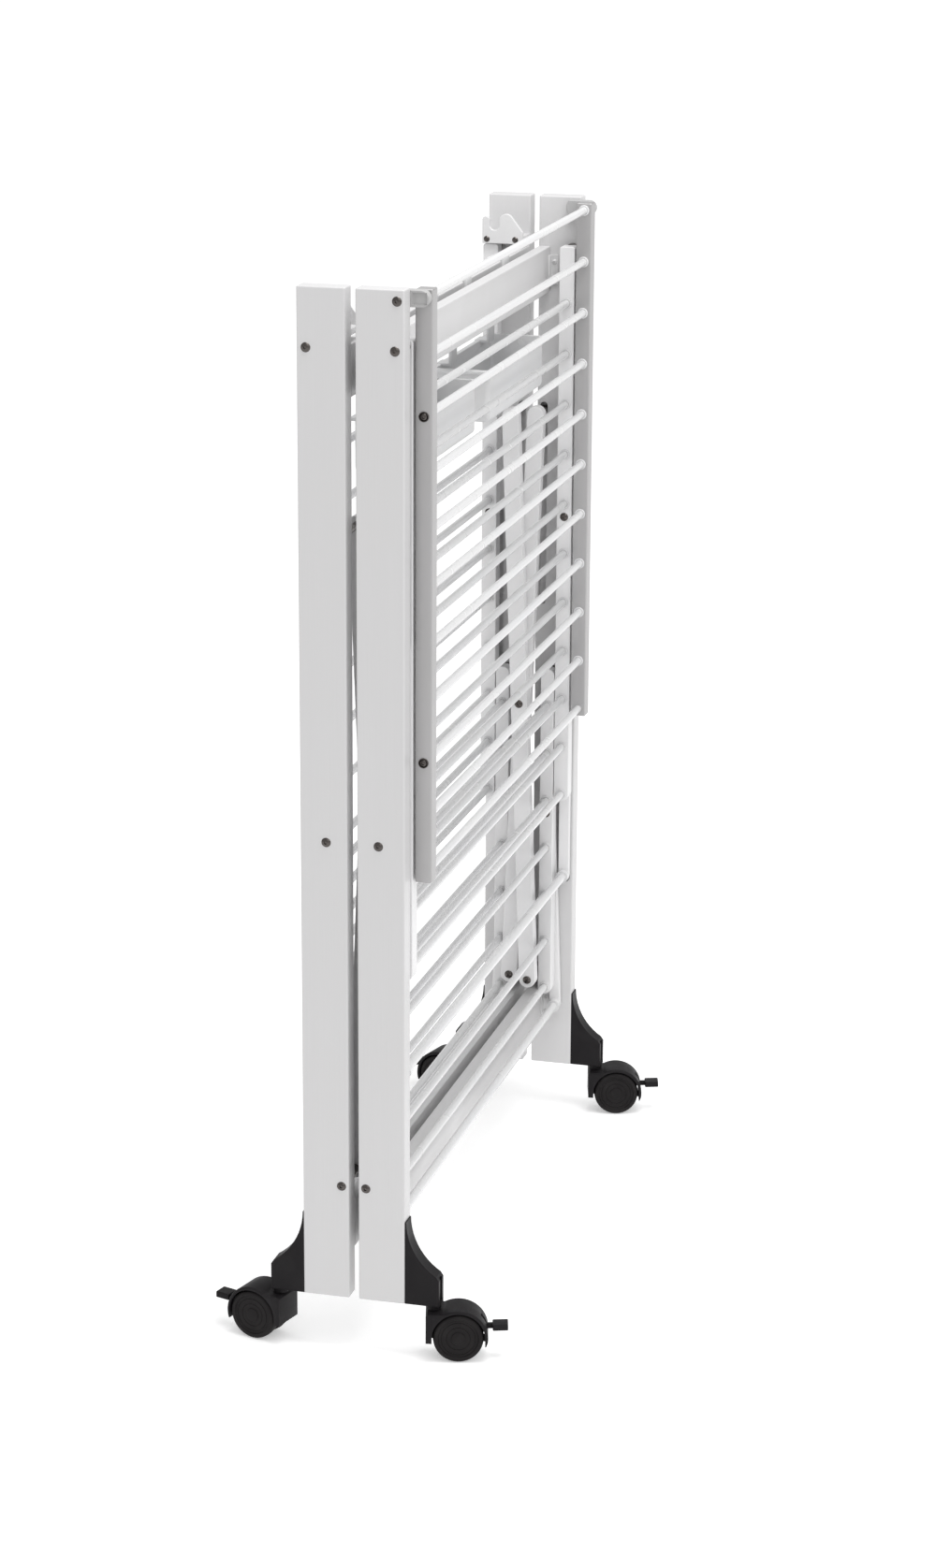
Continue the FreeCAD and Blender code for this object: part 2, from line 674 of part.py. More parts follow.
lower_stay_x = post_outer - lower_stay_inset
lower_stay_tilt = -math.degrees(math.asin((lower_stay_x - lower_x) / lower_stay_length))
upper_bar = wing_bar(upper_x, upper_z, upper_rod_offsets, upper_wing_bar_width, upper_wing_top,
                     upper_wing_corner)
lower_bar = wing_bar(lower_x, lower_z, lower_rod_offsets, lower_wing_bar_width, lower_wing_top,
                     lower_wing_corner)
for side in ("right", "left"):
    wing(side + "_upper_wing", upper_x, upper_z, upper_bar, upper_rod_offsets, upper_stay_reach)
    wing(side + "_lower_wing", lower_x, lower_z, lower_bar, lower_rod_offsets, lower_stay_reach)
    stay(side + "_upper_stay", upper_x, upper_z - upper_stay_reach, upper_stay_length, 0.0)
    stay(side + "_lower_stay", lower_x, lower_z - lower_stay_reach, lower_stay_length, lower_stay_tilt)

# ---- Castors, drawn at the far right corner ----

swivel_x = post_outer + swivel_out
wheel_x = post_outer + wheel_out
bracket_half = post_thickness / 2 - bracket_inset


def castor_bracket():
    """Gusset on the side of the post with a boss for the swivel stem."""
    x0 = post_outer
    x1 = post_outer + bracket_reach
    z0 = post_bottom
    knee = (x1, z0 + bracket_front_height)
    brow = (x1 - 3, z0 + bracket_front_height + 4.5)
    tip = (x0 + bracket_flange, z0 + bracket_height)
    outline = Part.Wire([
        line((x0, z0), (x1, z0)),
        line((x1, z0), knee),
        line(knee, brow),
        arc(brow, (x0 + 14.5, z0 + 52.0), tip),
        line(tip, (x0, z0 + bracket_height)),
        line((x0, z0 + bracket_height), (x0, z0)),
    ])
    body = prism_y(outline, castor_y - bracket_half, castor_y + bracket_half)
    body = body.makeFillet(face_ease, [e for e in body.Edges
                                       if abs(abs(e.CenterOfMass.y - castor_y) - bracket_half) < 1e-6
                                       and e.CenterOfMass.x > x0 + bracket_flange])
    boss = rod_z(swivel_x, castor_y, swivel_boss_radius, z0 - swivel_boss_drop, z0 + 4)
    slot = box(x1 - bracket_slot_depth, x1 + 1, castor_y - bracket_slot_width / 2,
               castor_y + bracket_slot_width / 2, z0 + 4, knee[1] + 2)
    stem_hole = rod_z(swivel_x, castor_y, stem_radius, z0 - swivel_boss_drop, z0 + stem_rise)
    return body.fuse(boss).cut([slot, stem_hole])


def castor_stem():
    return rod_z(swivel_x, castor_y, stem_radius, hood_flat - stem_depth, post_bottom + stem_rise)


def castor_hood():
    """Cover over the twin wheels, with the web that holds the axle and the stem's bore."""
    left = post_outer + hood_inner_out
    right = wheel_x + hood_radius
    start = math.pi - math.asin((hood_flat - wheel_radius) / hood_radius)
    end = math.radians(-8)
    middle = (start + end) / 2

    def on_arc(angle):
        return (wheel_x + hood_radius * math.cos(angle), wheel_radius + hood_radius * math.sin(angle))

    outline = Part.Wire([
        line((left, hood_inner_skirt), (left, hood_flat - 2)),
        line((left, hood_flat - 2), (left + 2, hood_flat)),
        line((left + 2, hood_flat), on_arc(start)),
        arc(on_arc(start), on_arc(middle), on_arc(end)),
        line(on_arc(end), (on_arc(end)[0] - 2, hood_outer_skirt)),
        line((on_arc(end)[0] - 2, hood_outer_skirt), (left, hood_inner_skirt)),
    ])
    body = prism_y(outline, castor_y - hood_half_width, castor_y + hood_half_width)
    body = body.makeFillet(2.0, [e for e in body.Edges
                                 if isinstance(e.Curve, Part.Circle) and e.Length > hood_radius])
    room_radius = wheel_radius + wheel_room
    wells = [rod_y(wheel_x, wheel_radius, room_radius, castor_y + s * hood_web,
                   castor_y + s * (hood_half_width + 1)) for s in (-1, 1)]
    wells += [box(wheel_x - room_radius, wheel_x + room_radius, castor_y + s * hood_web,
                  castor_y + s * (hood_half_width + 1), 0, wheel_radius) for s in (-1, 1)]
    bore = rod_z(swivel_x, castor_y, stem_radius + running_clearance, hood_flat - stem_depth - bolt_end_gap,
                 hood_flat + 1)
    axle_hole = rod_y(wheel_x, wheel_radius, axle_radius + running_clearance,
                      castor_y - hood_web - 1, castor_y + hood_web + 1)
    slot = box(pedal_pivot_out + post_outer - 5, right + 2, castor_y - hood_web, castor_y + hood_web,
               pedal_pivot_height - pedal_slot_drop, pedal_pivot_height + pedal_slot_rise)
    pin_hole = rod_y(post_outer + pedal_pivot_out, pedal_pivot_height, pedal_pin_radius + running_clearance,
                     castor_y - 7.5, castor_y + 7.5)
    return body.cut(wells + [bore, axle_hole, slot, pin_hole])


def castor_wheels():
    """Twin wheels on one axle, each dished on its outer face."""
    def one(s):
        disc = rod_y(wheel_x, wheel_radius, wheel_radius, castor_y + s * wheel_inner, castor_y + s * wheel_outer)
        disc = disc.makeFillet(wheel_round, [e for e in disc.Edges if isinstance(e.Curve, Part.Circle)])
        dish = rod_y(wheel_x, wheel_radius, wheel_radius * 0.72, castor_y + s * (wheel_outer - 1.2),
                     castor_y + s * (wheel_outer + 1))
        hub = rod_y(wheel_x, wheel_radius, wheel_radius * 0.3, castor_y + s * (wheel_outer - 1.2),
                    castor_y + s * (wheel_outer - 0.3))
        bore = rod_y(wheel_x, wheel_radius, axle_radius, castor_y + s * wheel_inner,
                     castor_y + s * (wheel_outer - 4))
        return disc.cut(dish).fuse(hub).cut(bore)

    axle = rod_y(wheel_x, wheel_radius, axle_radius, castor_y - wheel_outer + 4, castor_y + wheel_outer - 4)
    return [one(-1), one(1), axle]


def brake_pedal():
    """Lever on two trunnions in the hood's slot, with a wide tread outside."""
    x_pivot = post_outer + pedal_pivot_out
    x_tip = post_outer + pedal_tip_out
    z = pedal_pivot_height
    trunnions = rod_y(x_pivot, z, pedal_pin_radius, castor_y - 7, castor_y + 7)
    knuckle = rod_y(x_pivot, z, 2.7, castor_y - pedal_neck / 2, castor_y + pedal_neck / 2)
    neck = box(x_pivot, x_tip - pedal_tread + 4, castor_y - pedal_neck / 2, castor_y + pedal_neck / 2,
               z - 2.5, z + 2.5)
    tread = box(x_tip - pedal_tread, x_tip, castor_y - pedal_width / 2, castor_y + pedal_width / 2,
                z - 3.5, z + 3.5)
    tread = tread.makeFillet(1.2, tread.Edges)
    lever = knuckle.fuse([neck, tread])
    lever.rotate(FreeCAD.Vector(x_pivot, 0, z), Y_AXIS, -pedal_rise)
    return lever.fuse(trunnions)


def swivelled(shape, end):
    """Piece of a right castor turned about its stem, towards the far end."""
    turned = shape.copy()
    y = castor_y if end == "far" else -castor_y
    turned.rotate(FreeCAD.Vector(swivel_x, y, 0), Z_AXIS, castor_turn)
    return turned


for side in ("right", "left"):
    add(side + "_castor_brackets", on_side(side, both_ends(castor_bracket())))
    add(side + "_castor_stems", on_side(side, both_ends(castor_stem())))
    for end in ("far", "near"):
        pieces = {"hood": [castor_hood()], "wheels": castor_wheels(), "pedal": [brake_pedal()]}
        for piece, shapes in pieces.items():
            placed = shapes if end == "far" else [mirrored_y(s) for s in shapes]
            add("%s_%s_castor_%s" % (end, side, piece), on_side(side, [swivelled(s, end) for s in placed]))

os.makedirs("parts", exist_ok=True)
for node, shape in nodes.items():
    shape.exportStep(os.path.join("parts", node + ".step"))
    state = "valid" if shape.isValid() else "NOT VALID"
    print("%-28s %2d solids %12.1f mm3 %s" % (node, len(shape.Solids), shape.Volume, state))
print(len(nodes), "nodes")
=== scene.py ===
import json
import math

import bmesh
import bpy
from mathutils import Matrix, Vector


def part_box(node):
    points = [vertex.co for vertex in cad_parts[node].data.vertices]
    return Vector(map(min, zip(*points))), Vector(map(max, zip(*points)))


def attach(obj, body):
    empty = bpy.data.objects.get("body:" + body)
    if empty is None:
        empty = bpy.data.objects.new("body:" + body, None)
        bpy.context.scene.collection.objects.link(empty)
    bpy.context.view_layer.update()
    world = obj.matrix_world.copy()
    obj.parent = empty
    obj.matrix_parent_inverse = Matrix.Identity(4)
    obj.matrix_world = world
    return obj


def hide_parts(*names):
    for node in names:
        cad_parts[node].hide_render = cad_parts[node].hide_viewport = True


# Folding clothes dryer on castors. Everything is in metres, +Z up, "near" is -Y and "right" is +X.

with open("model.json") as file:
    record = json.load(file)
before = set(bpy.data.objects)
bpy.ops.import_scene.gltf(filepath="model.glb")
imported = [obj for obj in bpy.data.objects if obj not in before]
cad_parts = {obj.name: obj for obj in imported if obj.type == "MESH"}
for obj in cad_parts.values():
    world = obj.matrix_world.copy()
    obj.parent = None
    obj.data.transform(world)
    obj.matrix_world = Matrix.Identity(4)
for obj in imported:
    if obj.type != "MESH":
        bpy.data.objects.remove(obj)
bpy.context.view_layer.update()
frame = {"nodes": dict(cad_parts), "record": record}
record = frame["record"]
bodyOf = {node: body for body, nodes in record["behaviour"]["bodies"].items() for node in nodes}
slotOf = {part["node"]: part["material_slot"] for part in record["subparts"]}


# Camera

cameraPlace = {
    "spot": (1.0463, -3.8572, 1.6767),
    "headingDegrees": 14.91,      # to the left of straight along +Y
    "downDegrees": 16.16,
    "rollDegrees": 0.27,
    "lens": 85.46,
}


def makeCamera():
    heading = math.radians(cameraPlace["headingDegrees"])
    down = math.radians(cameraPlace["downDegrees"])
    level = math.cos(down)
    forward = Vector((-math.sin(heading) * level, math.cos(heading) * level, -math.sin(down)))
    right = Vector((math.cos(heading), math.sin(heading), 0))
    turn = Matrix((right, right.cross(forward), -forward)).transposed()
    roll = Matrix.Rotation(math.radians(cameraPlace["rollDegrees"]), 3, "Z")
    camera = bpy.data.objects.new("camera", bpy.data.cameras.new("camera"))
    bpy.context.scene.collection.objects.link(camera)
    camera.matrix_world = Matrix.Translation(cameraPlace["spot"]) @ (turn @ roll).to_4x4()
    camera.data.lens = cameraPlace["lens"]
    camera.data.sensor_width = 36
    camera.data.clip_end = 200
    bpy.context.scene.camera = camera


makeCamera()


# Shader node groups

def newShaderGroup(name, inputs, outputs):
    group = bpy.data.node_groups.new(name, "ShaderNodeTree")
    for label, kind, value in inputs:
        socket = group.interface.new_socket(name=label, in_out="INPUT", socket_type=kind)
        socket.default_value = value
    for label, kind in outputs:
        group.interface.new_socket(name=label, in_out="OUTPUT", socket_type=kind)
    return group, group.nodes.new("NodeGroupInput"), group.nodes.new("NodeGroupOutput")


def addNode(tree, kind, **settings):
    node = tree.nodes.new(kind)
    for key, value in settings.items():
        setattr(node, key, value)
    return node


def stretchedNoise(tree, vector, stretch, detail):
    # noise pulled out along one axis, for grain and brushing
    scaled = addNode(tree, "ShaderNodeVectorMath", operation="MULTIPLY")
    noise = addNode(tree, "ShaderNodeTexNoise")
    noise.inputs["Scale"].default_value = 1
    noise.inputs["Detail"].default_value = detail
    tree.links.new(vector, scaled.inputs[0])
    tree.links.new(stretch, scaled.inputs[1])
    tree.links.new(scaled.outputs[0], noise.inputs["Vector"])
    return noise.outputs["Fac"]


def makeStreakGroup():
    group, given, result = newShaderGroup(
        "streaks",
        [("Vector", "NodeSocketVector", (0, 0, 0)), ("Stretch", "NodeSocketVector", (1, 1, 1)),
         ("Broad Stretch", "NodeSocketVector", (1, 1, 1))],
        [("Height", "NodeSocketFloat"), ("Shade", "NodeSocketFloat")])
    fine = stretchedNoise(group, given.outputs["Vector"], given.outputs["Stretch"], 5)
    broad = stretchedNoise(group, given.outputs["Vector"], given.outputs["Broad Stretch"], 3)
    group.links.new(fine, result.inputs["Height"])
    group.links.new(broad, result.inputs["Shade"])
    return group


def makeSpeckleGroup():
    group, given, result = newShaderGroup(
        "speckle",
        [("Vector", "NodeSocketVector", (0, 0, 0)), ("Fine Scale", "NodeSocketFloat", 1500),
         ("Pore Scale", "NodeSocketFloat", 600)],
        [("Height", "NodeSocketFloat"), ("Shade", "NodeSocketFloat")])
    fine = addNode(group, "ShaderNodeTexNoise")
    fine.inputs["Detail"].default_value = 3
    pores = addNode(group, "ShaderNodeTexVoronoi")
    height = addNode(group, "ShaderNodeMath", operation="MULTIPLY_ADD")
    height.inputs[1].default_value = 0.5
    for texture, scale in ((fine, "Fine Scale"), (pores, "Pore Scale")):
        group.links.new(given.outputs["Vector"], texture.inputs["Vector"])
        group.links.new(given.outputs[scale], texture.inputs["Scale"])
    group.links.new(pores.outputs["Distance"], height.inputs[0])
    group.links.new(fine.outputs["Fac"], height.inputs[2])
    group.links.new(height.outputs[0], result.inputs["Height"])
    group.links.new(fine.outputs["Fac"], result.inputs["Shade"])
    return group


def makeHandlingGroup():
    # where hands and dust have dulled a surface: soft patches, and the roughness they give
    group, given, result = newShaderGroup(
        "handling",
        [("Vector", "NodeSocketVector", (0, 0, 0)), ("Patch Scale", "NodeSocketFloat", 9),
         ("Smooth", "NodeSocketFloat", 0.3), ("Dull", "NodeSocketFloat", 0.5)],
        [("Mask", "NodeSocketFloat"), ("Roughness", "NodeSocketFloat")])
    patches = addNode(group, "ShaderNodeTexNoise")
    patches.inputs["Detail"].default_value = 4
    patches.inputs["Distortion"].default_value = 0.6
    mask = addNode(group, "ShaderNodeMapRange", interpolation_type="SMOOTHSTEP")
    mask.inputs["From Min"].default_value = 0.35
    mask.inputs["From Max"].default_value = 0.7
    rough = addNode(group, "ShaderNodeMapRange")
    group.links.new(given.outputs["Vector"], patches.inputs["Vector"])
    group.links.new(given.outputs["Patch Scale"], patches.inputs["Scale"])
    group.links.new(patches.outputs["Fac"], mask.inputs["Value"])
    group.links.new(mask.outputs["Result"], rough.inputs["Value"])
    group.links.new(given.outputs["Smooth"], rough.inputs["To Min"])
    group.links.new(given.outputs["Dull"], rough.inputs["To Max"])
    group.links.new(mask.outputs["Result"], result.inputs["Mask"])
    group.links.new(rough.outputs["Result"], result.inputs["Roughness"])
    return group


streakGroup = makeStreakGroup()
speckleGroup = makeSpeckleGroup()
handlingGroup = makeHandlingGroup()


def mixColours(tree, factor, first, second):
    mix = addNode(tree, "ShaderNodeMix", data_type="RGBA")
    tree.links.new(factor, mix.inputs["Factor"])
    for socket, colour in (("A", first), ("B", second)):
        target = [s for s in mix.inputs if s.name == socket and s.type == "RGBA"][0]
        if isinstance(colour, bpy.types.NodeSocket):
            tree.links.new(colour, target)
        else:
            target.default_value = (*colour, 1)
    return [s for s in mix.outputs if s.type == "RGBA"][0]


def makeFinish(name, look):
    # look: colour, streak or speckle shade, patch shade, roughness range, texture and bump
    material = bpy.data.materials.new(name)
    material.use_nodes = True
    tree = material.node_tree
    shader = tree.nodes["Principled BSDF"]
    coordinates = addNode(tree, "ShaderNodeTexCoord")
    place = coordinates.outputs["Object"]
    textureGroup = streakGroup if "stretch" in look else speckleGroup
    texture = addNode(tree, "ShaderNodeGroup", node_tree=textureGroup)
    if "stretch" in look:
        texture.inputs["Stretch"].default_value = look["stretch"]
        texture.inputs["Broad Stretch"].default_value = look["broadStretch"]
    else:
        texture.inputs["Fine Scale"].default_value = look["fineScale"]
        texture.inputs["Pore Scale"].default_value = look["poreScale"]
    handling = addNode(tree, "ShaderNodeGroup", node_tree=handlingGroup)
    handling.inputs["Patch Scale"].default_value = look.get("patchScale", 9)
    for ending, value in zip(("Smooth", "Dull"), look["roughness"]):
        handling.inputs[ending].default_value = value
    tree.links.new(place, texture.inputs["Vector"])
    tree.links.new(place, handling.inputs["Vector"])
    base = mixColours(tree, texture.outputs["Shade"], look["colour"], look["shade"])
    worn = mixColours(tree, handling.outputs["Mask"], base, look["patch"])
    tree.links.new(worn, shader.inputs["Base Color"])
    tree.links.new(handling.outputs["Roughness"], shader.inputs["Roughness"])
    bump = addNode(tree, "ShaderNodeBump")
    bump.inputs["Strength"].default_value = look["bump"]
    bump.inputs["Distance"].default_value = look["depth"]
    tree.links.new(texture.outputs["Height"], bump.inputs["Height"])
    tree.links.new(bump.outputs["Normal"], shader.inputs["Normal"])
    shader.inputs["Metallic"].default_value = look.get("metallic", 0)
    shader.inputs["Coat Weight"].default_value = look.get("coat", 0)
    shader.inputs["Coat Roughness"].default_value = 0.2
    shader.inputs["Specular IOR Level"].default_value = look.get("specular", 0.5)
    return material


paint = {
    "colour": (0.600, 0.596, 0.600), "shade": (0.574, 0.570, 0.574), "patch": (0.588, 0.583, 0.585),
    "roughness": (0.34, 0.48), "bump": 0.25, "depth": 0.0004, "coat": 0.1,
}
finishes = {
    "uprightPaint": makeFinish("whitePaintUpright", {
        **paint, "stretch": (420, 420, 9), "broadStretch": (60, 60, 2.5)}),
    "levelPaint": makeFinish("whitePaintLevel", {
        **paint, "stretch": (420, 9, 420), "broadStretch": (60, 2.5, 60)}),
    # painted light: the wing bars, stay arms and links get a lighter copy of the same white paint,
    # standing in for the light that the shade inside the frames takes away
    "barPaintWithPaintedLight": makeFinish("whitePaintBarsPaintedLight", {
        **paint, "colour": (0.76, 0.757, 0.762), "shade": (0.73, 0.727, 0.732),
        "patch": (0.745, 0.74, 0.743), "stretch": (420, 420, 9), "broadStretch": (60, 60, 2.5)}),
    "rodGloss": makeFinish("whiteRodResin", {
        "colour": (0.68, 0.68, 0.685), "shade": (0.64, 0.64, 0.65), "patch": (0.67, 0.67, 0.67),
        "roughness": (0.18, 0.3), "stretch": (900, 14, 900), "broadStretch": (30, 6, 30),
        "bump": 0.12, "depth": 0.0002, "coat": 0.3}),
    "satinAluminium": makeFinish("satinAluminium", {
        "colour": (0.47, 0.462, 0.466), "shade": (0.41, 0.404, 0.407), "patch": (0.445, 0.44, 0.44),
        "roughness": (0.36, 0.46), "stretch": (1800, 1800, 12), "broadStretch": (160, 160, 3),
        "bump": 0.2, "depth": 0.0002, "metallic": 0.7}),
    "blockPlastic": makeFinish("greyBlockPlastic", {
        "colour": (0.42, 0.418, 0.42), "shade": (0.38, 0.378, 0.38), "patch": (0.40, 0.398, 0.396),
        "roughness": (0.42, 0.55), "fineScale": 1600, "poreScale": 700,
        "bump": 0.25, "depth": 0.0002}),
    "trayPlastic": makeFinish("whiteTrayPlastic", {
        "colour": (0.70, 0.702, 0.71), "shade": (0.66, 0.662, 0.668), "patch": (0.68, 0.68, 0.682),
        "roughness": (0.36, 0.5), "fineScale": 1300, "poreScale": 500,
        "bump": 0.2, "depth": 0.0002}),
    "hookEnamel": makeFinish("whiteHookEnamel", {
        "colour": (0.64, 0.638, 0.642), "shade": (0.61, 0.608, 0.612),
        "patch": (0.625, 0.622, 0.622),
        "roughness": (0.28, 0.42), "fineScale": 420, "poreScale": 180, "bump": 0.2, "depth": 0.0003,
        "coat": 0.2}),
    # painted reflection: the bolt metal's colour is made dark so that it looks as if dark
    # surroundings were mirrored in it, not the white studio
    "boltMetalPaintedDark": makeFinish("boltMetalPaintedDark", {
        "colour": (0.12, 0.11, 0.105), "shade": (0.07, 0.064, 0.06), "patch": (0.10, 0.09, 0.085),
        "roughness": (0.16, 0.3), "fineScale": 2400, "poreScale": 900,
        "bump": 0.12, "depth": 0.0001,
        "metallic": 1.0, "patchScale": 60}),
    "castorPlastic": makeFinish("blackCastorPlastic", {
        "colour": (0.0085, 0.0075, 0.0085), "shade": (0.012, 0.0108, 0.012),
        "patch": (0.015, 0.0138, 0.0148),
        "roughness": (0.42, 0.56), "fineScale": 1800, "poreScale": 900,
        "bump": 0.35, "depth": 0.0002,
        "patchScale": 26, "specular": 0.12}),
    "wheelPlastic": makeFinish("blackWheelPlastic", {
        "colour": (0.0095, 0.0082, 0.0085), "shade": (0.013, 0.0115, 0.012),
        "patch": (0.018, 0.0165, 0.0165),
        "roughness": (0.5, 0.68), "fineScale": 1400, "poreScale": 650, "bump": 0.3, "depth": 0.0002,
        "patchScale": 40, "specular": 0.12}),
}
finishOfSlot = {
    "white_wood": "uprightPaint", "rod_resin": "rodGloss", "rack_aluminium": "satinAluminium",
    "block_plastic": "blockPlastic", "tray_plastic": "trayPlastic", "hook_metal": "hookEnamel",
    "bolt_steel": "boltMetalPaintedDark", "castor_plastic": "castorPlastic", "wheel_plastic": "wheelPlastic",
}


def finishFor(node):
    if node.endswith("_rail"):
        return finishes["levelPaint"]
    # the bars, stay arms and links take the lighter copy of the white paint, which is painted light
    if node.endswith(("_wing_bars", "_stay_arms", "_links")):
        return finishes["barPaintWithPaintedLight"]
    return finishes[finishOfSlot[slotOf[node]]]


for name, node in frame["nodes"].items():
    node.data.materials.clear()
    node.data.materials.append(finishFor(name))
print("finishes made,", len(finishes))


# Helpers for pieces

def addPiece(name, mesh, body, finish=None):
    piece = bpy.data.objects.new(name, mesh)
    bpy.context.scene.collection.objects.link(piece)
    if finish:
        mesh.materials.clear()
        mesh.materials.append(finish)
    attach(piece, body)
    return piece


def smoothUnder(mesh, degrees):
    # rounds look smooth, and edges sharper than this stay crisp
    mesh.shade_smooth()
    mesh.set_sharp_from_angle(angle=math.radians(degrees))


def evaluatedMesh(holder):
    view = bpy.context.evaluated_depsgraph_get()
    return bpy.data.meshes.new_from_object(holder.evaluated_get(view), depsgraph=view)


def finishedMesh(name, mesh, addModifiers):
    # a mesh run through modifiers on a passing object, which is removed again
    holder = bpy.data.objects.new(name, mesh)
    bpy.context.scene.collection.objects.link(holder)
    addModifiers(holder)
    made = evaluatedMesh(holder)
    bpy.data.objects.remove(holder)
    made.name = name
    return made


# Moulded pieces with eased edges, from the plain solids

easedPieces = {
    "widths": {"castor_hood": 0.0007, "castor_pedal": 0.0004, "rail_angles": 0.0004,
               "peg_tray": 0.0005},
    "segments": 2,
    "sharpDegrees": 32,
    "flatDegrees": 1.0,
    "mergeDistance": 2e-6,
}


def easedCopy(nodeName, width):
    mesh = frame["nodes"][nodeName].data.copy()
    work = bmesh.new()
    work.from_mesh(mesh)
    bmesh.ops.remove_doubles(work, verts=work.verts, dist=easedPieces["mergeDistance"])
    bmesh.ops.dissolve_limit(work, angle_limit=math.radians(easedPieces["flatDegrees"]),
                             verts=work.verts, edges=work.edges)
    work.to_mesh(mesh)
    work.free()

    def addBevel(holder):
        bevel = holder.modifiers.new("ease", "BEVEL")
        bevel.limit_method = "ANGLE"
        bevel.angle_limit = math.radians(easedPieces["sharpDegrees"])
        bevel.width = width
        bevel.segments = easedPieces["segments"]

    made = finishedMesh(nodeName + "_eased", mesh, addBevel)
    smoothUnder(made, easedPieces["sharpDegrees"])
    piece = addPiece(nodeName + "_moulded", made, bodyOf[nodeName],
                     finishFor(nodeName))
    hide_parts(nodeName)
    return piece


for nodeName in sorted(frame["nodes"]):
    for ending, width in easedPieces["widths"].items():
        if nodeName.endswith(ending):
            easedCopy(nodeName, width)
print("moulded pieces eased")


# Turned shapes about the Y axis

def turnedMesh(name, profiles, segments):
    # each profile is a list of (radius, distance along Y, corners); a circle has 0 corners
    work = bmesh.new()
    for profile in profiles:
        rings = []
        for radius, along, corners in profile:
            if radius == 0:
                rings.append([work.verts.new((0, along, 0))])
                continue
            ring = []
            for k in range(segments):
                angle = 2 * math.pi * k / segments
                reach = radius
                if corners:
                    part = 2 * math.pi / corners
                    reach = radius / math.cos(angle % part - part / 2)
                place = (reach * math.cos(angle), along, reach * math.sin(angle))
                ring.append(work.verts.new(place))
            rings.append(ring)
        for first, second in zip(rings, rings[1:]):
            for k in range(segments):
                after = (k + 1) % segments
                if len(first) == 1:
                    work.faces.new((first[0], second[k], second[after]))
                elif len(second) == 1:
                    work.faces.new((first[k], second[0], first[after]))
                else:
                    work.faces.new((first[k], second[k], second[after], first[after]))
    bmesh.ops.recalc_face_normals(work, faces=work.faces)
    mesh = bpy.data.meshes.new(name)
    work.to_mesh(mesh)
    work.free()
    return mesh


def roundedStep(radius, along, bend, fromAngle, toAngle, steps=4):
    # quarter round in a profile, about (radius, along)
    points = []
    for k in range(steps + 1):
        angle = math.radians(fromAngle + (toAngle - fromAngle) * k / steps)
        points.append((radius + bend * math.cos(angle), along + bend * math.sin(angle), 0))
    return points


# Castor wheels

wheelShape = {
    "halfGap": 0.004,         # between the twin wheels
    "rim": 0.003,
    "crown": 0.0004,
    "dishDepth": 0.0012,
    "rings": (0.0180, 0.0125),
    "ringWidth": 0.0008,
    "ringDepth": 0.0004,
    "hubRadius": 0.0075,
    "hubRise": 0.0011,
    "axleRadius": 0.003,
    "axleOverlap": 0.002,     # how far the axle runs into each wheel
    "segments": 96,
    "sharpDegrees": 28,
}


def wheelProfile(radius, outer, side):
    shape = wheelShape
    rim, inner = shape["rim"], shape["halfGap"]
    face = outer - shape["dishDepth"]
    points = [(0, inner, 0), (radius - rim, inner, 0)]
    points += roundedStep(radius - rim - shape["crown"], inner + rim, rim, -60, 0)
    points += [(radius, (inner + outer) / 2, 0)]
    points += roundedStep(radius - rim - shape["crown"], outer - rim, rim, 0, 90)
    points += [(radius * 0.80, outer, 0), (radius * 0.77, face, 0)]
    for ring in shape["rings"]:
        half, depth = shape["ringWidth"] / 2, shape["ringDepth"]
        points += [(ring + half, face, 0), (ring + half * 0.5, face - depth, 0),
                   (ring - half * 0.5, face - depth, 0), (ring - half, face, 0)]
    hub, rise = shape["hubRadius"], shape["hubRise"]
    points += [(hub, face, 0), (hub * 0.94, face + rise * 0.7, 0), (hub * 0.7, face + rise, 0),
               (hub * 0.3, face + rise * 1.15, 0), (0, face + rise * 1.2, 0)]
    return [(r, side * along, corners) for r, along, corners in points]


def makeWheels(nodeName):
    # the wheels turn about their own joint, so its axis places them
    spin = [joint for joint in record["behaviour"]["joints"]
            if joint["child"] == bodyOf[nodeName]][0]
    centre, axis = Vector(spin["pos_m"]), Vector(spin["axis"]).normalized()
    low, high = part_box(nodeName)
    radius = (high.z - low.z) / 2
    outer = max((v.co - centre).dot(axis) for v in frame["nodes"][nodeName].data.vertices)
    axle = wheelShape["axleRadius"]
    reach = wheelShape["halfGap"] + wheelShape["axleOverlap"]
    profiles = [wheelProfile(radius, outer, -1), wheelProfile(radius, outer, 1),
                [(0, -reach, 0), (axle, -reach, 0), (axle, reach, 0), (0, reach, 0)]]
    mesh = turnedMesh(nodeName, profiles, wheelShape["segments"])
    turn = Vector((0, 1, 0)).rotation_difference(axis).to_matrix().to_4x4()
    mesh.transform(Matrix.Translation(centre) @ turn)
    smoothUnder(mesh, wheelShape["sharpDegrees"])
    piece = addPiece(nodeName + "_turned", mesh, bodyOf[nodeName],
                     finishFor(nodeName))
    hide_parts(nodeName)


for nodeName in sorted(frame["nodes"]):
    if nodeName.endswith("castor_wheels"):
        makeWheels(nodeName)
print("castor wheels turned")


# Geometry Nodes: collars on the rod ends

def newGeometryTree(name, inputs):
    tree = bpy.data.node_groups.new(name, "GeometryNodeTree")
    tree.interface.new_socket(name="Geometry", in_out="INPUT", socket_type="NodeSocketGeometry")
    names = {}
    for label, kind in inputs:
        socket = tree.interface.new_socket(name=label, in_out="INPUT", socket_type=kind)
        names[label] = socket.identifier
    tree.interface.new_socket(name="Geometry", in_out="OUTPUT", socket_type="NodeSocketGeometry")
    return tree, names, tree.nodes.new("NodeGroupInput"), tree.nodes.new("NodeGroupOutput")


